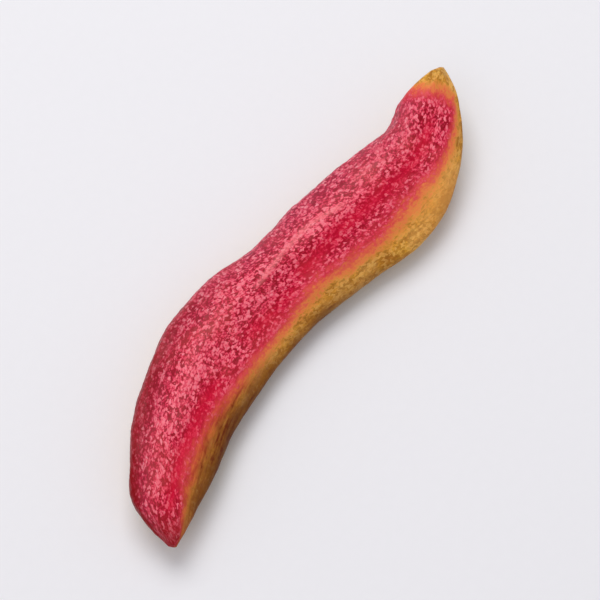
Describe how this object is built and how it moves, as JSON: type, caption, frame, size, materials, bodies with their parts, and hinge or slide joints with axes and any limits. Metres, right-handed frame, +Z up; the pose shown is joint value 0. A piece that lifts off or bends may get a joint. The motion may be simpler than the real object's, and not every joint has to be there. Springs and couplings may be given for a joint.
{
  "type": "dried guava strip",
  "caption": "Long S-shaped strip of soft-dried red guava lying on its skin, with granular red flesh on top and a rind edge along one side.",
  "frame": {"origin": "under the middle of the strip's bounding box, on the surface it lies on", "axes": "+X along the strip towards its hooked tip, +Z up out of the flesh side, -Y towards the edge with the rind band"},
  "size_m": [0.082, 0.0226, 0.0102],
  "materials": {
    "guava_strip": "soft, leathery dried fruit: moist granular crimson flesh on top, olive-yellow wrinkled skin below"
  },
  "bodies": {
    "root": {"guava_strip": "guava_strip"}
  },
  "joints": []
}
